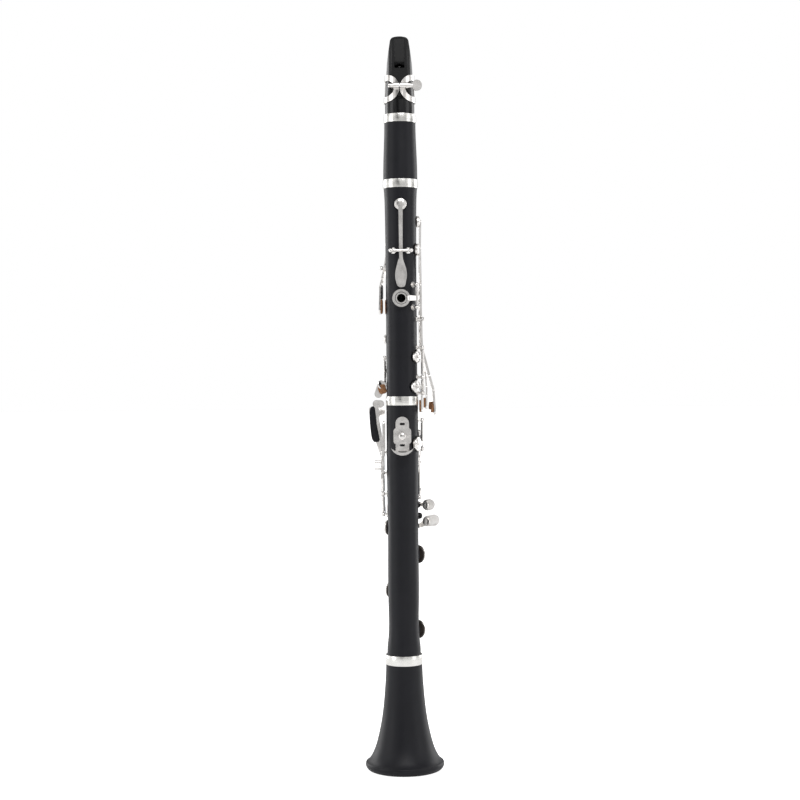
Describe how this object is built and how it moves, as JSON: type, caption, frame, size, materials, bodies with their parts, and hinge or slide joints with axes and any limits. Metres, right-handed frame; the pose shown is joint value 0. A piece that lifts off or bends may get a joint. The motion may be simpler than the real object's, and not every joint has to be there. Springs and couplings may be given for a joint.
{
  "type": "clarinet",
  "caption": "Soprano clarinet in B flat with five joints, padded keys, finger rings, ligature and adjustable thumb rest.",
  "frame": {"origin": "centre of the bell's rim, at the foot of the standing instrument", "axes": "+Z along the bore towards the mouthpiece tip; -Y is the thumb side, +Y the finger-hole side"},
  "size_m": [0.0716, 0.0716, 0.665],
  "materials": {
    "black_body": "black resin with a fine satin grain, turned and polished",
    "mouthpiece_black": "polished black moulded resin",
    "nickel": "bright nickel plating",
    "steel": "turned steel",
    "cork": "natural cork, waxed",
    "pad_skin": "thin skin over felt"
  },
  "bodies": {
    "lower_joint": {"lower_joint": "black_body", "lower_joint_ring": "nickel", "lower_joint_cork": "cork", "lower_posts": "nickel", "lower_hinge_rods": "steel", "thumb_rest_base": "nickel"},
    "upper_joint": {"upper_joint": "black_body", "upper_joint_corks": "cork", "upper_posts": "nickel", "upper_hinge_rods": "steel", "thumb_bushing": "nickel"},
    "barrel": {"barrel": "black_body", "barrel_rings": "nickel"},
    "mouthpiece": {"mouthpiece": "mouthpiece_black", "mouthpiece_cork": "cork"},
    "bell": {"bell": "black_body", "bell_ring": "nickel"},
    "ligature": {"ligature": "nickel"},
    "ligature_screw": {"ligature_screw": "nickel"},
    "thumb_rest_hook": {"thumb_rest_hook": "nickel"},
    "thumb_rest_screw": {"thumb_rest_screw": "nickel"},
    "register_key": {"register_key": "nickel", "register_pad": "pad_skin"},
    "thumb_ring_key": {"thumb_ring_key": "nickel"},
    "a_key": {"a_key": "nickel", "a_pad": "pad_skin"},
    "g_sharp_key": {"g_sharp_key": "nickel", "g_sharp_pad": "pad_skin"},
    "side_key_1": {"side_key_1": "nickel", "side_1_pad": "pad_skin"},
    "side_key_2": {"side_key_2": "nickel", "side_2_pad": "pad_skin"},
    "side_key_3": {"side_key_3": "nickel", "side_3_pad": "pad_skin"},
    "side_key_4": {"side_key_4": "nickel", "side_4_pad": "pad_skin"},
    "upper_ring_key": {"upper_ring_key": "nickel", "upper_ring_pad": "pad_skin"},
    "upper_sliver_key": {"upper_sliver_key": "nickel", "upper_sliver_pad": "pad_skin"},
    "c_sharp_key": {"c_sharp_key": "nickel", "c_sharp_pad": "pad_skin"},
    "lower_ring_key": {"lower_ring_key": "nickel", "lower_ring_pad": "pad_skin"},
    "lower_sliver_key": {"lower_sliver_key": "nickel", "lower_sliver_pad": "pad_skin"},
    "a_flat_key": {"a_flat_key": "nickel", "a_flat_pad": "pad_skin"},
    "low_f_sharp_key": {"low_f_sharp_key": "nickel", "low_f_sharp_pad": "pad_skin"},
    "low_f_key": {"low_f_key": "nickel", "low_f_pad": "pad_skin"},
    "low_e_key": {"low_e_key": "nickel", "low_e_pad": "pad_skin"},
    "left_e_lever": {"left_e_lever": "nickel"},
    "left_f_sharp_lever": {"left_f_sharp_lever": "nickel"},
    "left_f_lever": {"left_f_lever": "nickel"}
  },
  "joints": [
    {"name": "middle_tenon", "type": "slide", "parent": "lower_joint", "child": "upper_joint", "axis": [0, 0, 1], "range_m": [0, 0.024]},
    {"name": "barrel_tenon", "type": "slide", "parent": "upper_joint", "child": "barrel", "axis": [0, 0, 1], "range_m": [0, 0.02]},
    {"name": "mouthpiece_tenon", "type": "slide", "parent": "barrel", "child": "mouthpiece", "axis": [0, 0, 1], "range_m": [0, 0.02]},
    {"name": "bell_tenon", "type": "slide", "parent": "lower_joint", "child": "bell", "axis": [0, 0, -1], "range_m": [0, 0.026]},
    {"name": "ligature_slip", "type": "slide", "parent": "mouthpiece", "child": "ligature", "axis": [0, 0, 1], "range_m": [0, 0.062]},
    {"name": "ligature_screw_turn", "type": "hinge", "parent": "ligature", "child": "ligature_screw", "pos_m": [0, -0.0156, 0.6194], "axis": [1, 0, 0], "continuous": true},
    {"name": "thumb_rest_slip", "type": "slide", "parent": "lower_joint", "child": "thumb_rest_hook", "axis": [0, 0, 1], "range_m": [-0.0034, 0.0034]},
    {"name": "thumb_rest_screw_turn", "type": "hinge", "parent": "lower_joint", "child": "thumb_rest_screw", "pos_m": [0, -0.0172, 0.303], "axis": [0, -1, 0], "continuous": true},
    {"name": "register_key_pivot", "type": "hinge", "parent": "upper_joint", "child": "register_key", "pos_m": [0, -0.0174, 0.4706], "axis": [1, 0, 0], "range_deg": [0, 4], "stiffness_Nm_per_rad": 0.3},
    {"name": "thumb_ring_key_pivot", "type": "hinge", "parent": "upper_joint", "child": "thumb_ring_key", "pos_m": [0.01412, -0.01316, 0], "axis": [0, 0, -1], "range_deg": [0, 5], "stiffness_Nm_per_rad": 0.3},
    {"name": "a_key_pivot", "type": "hinge", "parent": "upper_joint", "child": "a_key", "pos_m": [-0.00185, 0.0176, 0.466], "axis": [-0.9945, -0.1045, 0], "range_deg": [0, 5], "stiffness_Nm_per_rad": 0.3},
    {"name": "g_sharp_key_pivot", "type": "hinge", "parent": "upper_joint", "child": "g_sharp_key", "pos_m": [-0.01467, 0.0099, 0.456], "axis": [-0.5592, -0.829, 0], "range_deg": [0, 4.5], "stiffness_Nm_per_rad": 0.3},
    {"name": "side_key_1_pivot", "type": "hinge", "parent": "upper_joint", "child": "side_key_1", "pos_m": [0.01888, -0.00401, 0], "axis": [0, 0, 1], "range_deg": [0, 9], "stiffness_Nm_per_rad": 0.3},
    {"name": "side_key_2_pivot", "type": "hinge", "parent": "upper_joint", "child": "side_key_2", "pos_m": [0.01888, -0.00401, 0], "axis": [0, 0, 1], "range_deg": [0, 9], "stiffness_Nm_per_rad": 0.3},
    {"name": "side_key_3_pivot", "type": "hinge", "parent": "upper_joint", "child": "side_key_3", "pos_m": [0.01744, 0.00403, 0.409], "axis": [-0.225, 0.9744, 0], "range_deg": [0, 2], "stiffness_Nm_per_rad": 0.3},
    {"name": "side_key_4_pivot", "type": "hinge", "parent": "upper_joint", "child": "side_key_4", "pos_m": [0.01744, 0.00403, 0.409], "axis": [-0.225, 0.9744, 0], "range_deg": [0, 1.6], "stiffness_Nm_per_rad": 0.3},
    {"name": "upper_ring_key_pivot", "type": "hinge", "parent": "upper_joint", "child": "upper_ring_key", "pos_m": [0.01015, 0.0145, 0], "axis": [0, 0, 1], "range_deg": [0, 4.5], "stiffness_Nm_per_rad": 0.3},
    {"name": "upper_sliver_key_pivot", "type": "hinge", "parent": "upper_joint", "child": "upper_sliver_key", "pos_m": [-0.01065, 0.01414, 0], "axis": [0, 0, -1], "range_deg": [0, 10], "stiffness_Nm_per_rad": 0.3},
    {"name": "c_sharp_key_pivot", "type": "hinge", "parent": "upper_joint", "child": "c_sharp_key", "pos_m": [-0.01577, 0.00804, 0], "axis": [0, 0, 1], "range_deg": [0, 10], "stiffness_Nm_per_rad": 0.3},
    {"name": "lower_ring_key_pivot", "type": "hinge", "parent": "lower_joint", "child": "lower_ring_key", "pos_m": [0.01524, 0.01067, 0], "axis": [0, 0, 1], "range_deg": [0, 3.4], "stiffness_Nm_per_rad": 0.3},
    {"name": "lower_sliver_key_pivot", "type": "hinge", "parent": "lower_joint", "child": "lower_sliver_key", "pos_m": [0.01818, 0.00095, 0], "axis": [0, 0, 1], "range_deg": [0, 7], "stiffness_Nm_per_rad": 0.3},
    {"name": "a_flat_key_pivot", "type": "hinge", "parent": "lower_joint", "child": "a_flat_key", "pos_m": [-0.01065, 0.01414, 0], "axis": [0, 0, -1], "range_deg": [0, 7.4], "stiffness_Nm_per_rad": 0.3},
    {"name": "low_f_sharp_key_pivot", "type": "hinge", "parent": "lower_joint", "child": "low_f_sharp_key", "pos_m": [-0.00517, 0.01693, 0], "axis": [0, 0, -1], "range_deg": [0, 8], "stiffness_Nm_per_rad": 0.3},
    {"name": "low_f_key_pivot", "type": "hinge", "parent": "lower_joint", "child": "low_f_key", "pos_m": [0.00692, 0.01629, 0], "axis": [0, 0, -1], "range_deg": [0, 10.8], "stiffness_Nm_per_rad": 0.3},
    {"name": "low_e_key_pivot", "type": "hinge", "parent": "lower_joint", "child": "low_e_key", "pos_m": [0.00093, 0.01768, 0], "axis": [0, 0, -1], "range_deg": [0, 10.8], "stiffness_Nm_per_rad": 0.3},
    {"name": "left_e_lever_pivot", "type": "hinge", "parent": "lower_joint", "child": "left_e_lever", "pos_m": [-0.01783, 0.0025, 0], "axis": [0, 0, 1], "range_deg": [0, 6], "stiffness_Nm_per_rad": 0.3},
    {"name": "left_f_sharp_lever_pivot", "type": "hinge", "parent": "lower_joint", "child": "left_f_sharp_lever", "pos_m": [-0.01783, 0.0025, 0], "axis": [0, 0, 1], "range_deg": [0, 6], "stiffness_Nm_per_rad": 0.3},
    {"name": "left_f_lever_pivot", "type": "hinge", "parent": "lower_joint", "child": "left_f_lever", "pos_m": [-0.01783, 0.0025, 0], "axis": [0, 0, 1], "range_deg": [0, 6], "stiffness_Nm_per_rad": 0.3}
  ],
  "couplings": [
    {"joint": "upper_ring_key_pivot", "follows": "lower_ring_key_pivot", "ratio": 1.3235},
    {"joint": "left_e_lever_pivot", "follows": "low_e_key_pivot", "ratio": 0.55556},
    {"joint": "left_f_lever_pivot", "follows": "low_f_key_pivot", "ratio": 0.55556},
    {"joint": "left_f_sharp_lever_pivot", "follows": "low_f_sharp_key_pivot", "ratio": 0.75}
  ]
}
